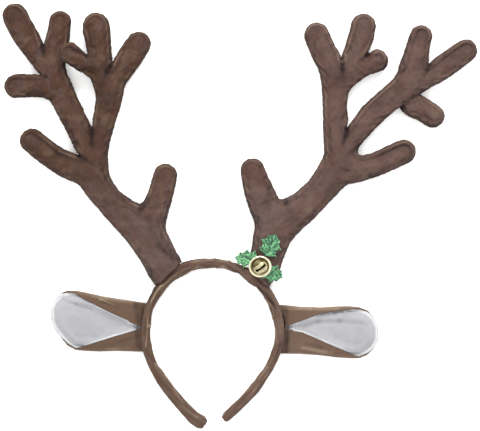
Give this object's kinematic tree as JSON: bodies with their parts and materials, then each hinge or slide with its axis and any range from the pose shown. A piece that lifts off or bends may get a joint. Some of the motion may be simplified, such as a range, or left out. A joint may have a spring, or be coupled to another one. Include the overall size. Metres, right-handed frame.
{
  "type": "antler headband",
  "caption": "Plush antler headband: a padded hoop for the head with stuffed branching antlers, folded ears, holly leaves and a round bell.",
  "frame": {"origin": "on the floor under the middle of the whole piece, as it lies on its back", "axes": "+Z is the way the front of the headband faces, away from the floor; +Y points from the head opening towards the antler tips; +X points to the viewer's right, the side with the bell"},
  "size_m": [0.4178, 0.3742, 0.0375],
  "materials": {
    "brown_plush": "short velvety pile",
    "white_plush": "soft brushed pile",
    "green_glitter": "glitter-coated felt",
    "gold_brass": "polished pale gold",
    "pea_steel": "plain"
  },
  "bodies": {
    "root": {"band": "brown_plush", "antler_left": "brown_plush", "antler_right": "brown_plush", "ear_left_back": "brown_plush", "ear_right_back": "brown_plush", "ear_left_lining": "white_plush", "ear_right_lining": "white_plush", "holly_leaf_top": "green_glitter", "holly_leaf_left": "green_glitter", "holly_leaf_right": "green_glitter", "bell_front": "gold_brass", "bell_back": "gold_brass", "bell_pea": "pea_steel"}
  },
  "joints": []
}
